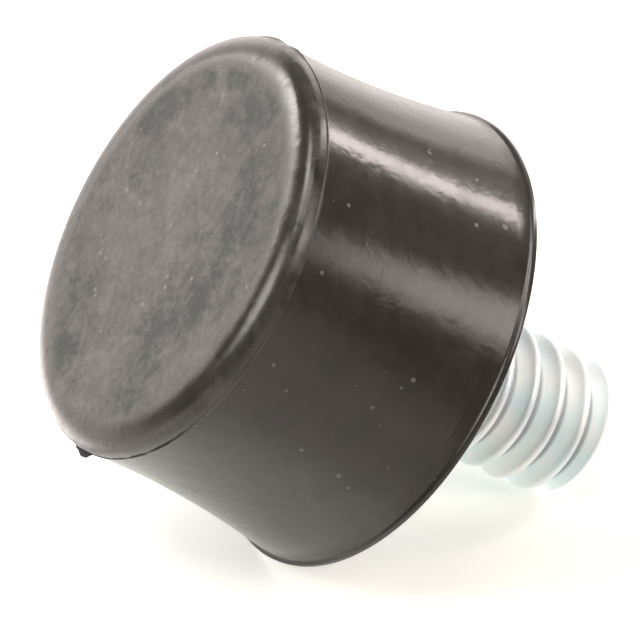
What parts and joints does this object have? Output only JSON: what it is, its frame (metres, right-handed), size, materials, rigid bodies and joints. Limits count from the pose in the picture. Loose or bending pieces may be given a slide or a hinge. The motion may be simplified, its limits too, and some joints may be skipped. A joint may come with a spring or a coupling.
{
  "type": "rubber foot",
  "caption": "Round moulded rubber foot with a flat face, a flared side and a thin base lip, moulded onto a threaded steel stud that screws into a case.",
  "frame": {"origin": "centre of the flat face that stands on the desk", "axes": "+Z along the stud's axis, from the flat face to the stud's tip"},
  "size_m": [0.0152, 0.0152, 0.0162],
  "materials": {
    "rubber": "moulded black rubber, half gloss on the side and dusty on the face",
    "zinc_steel": "bright zinc plate with a faint blue tint"
  },
  "bodies": {
    "root": {"rubber_body": "rubber", "threaded_stud": "zinc_steel"}
  },
  "joints": []
}
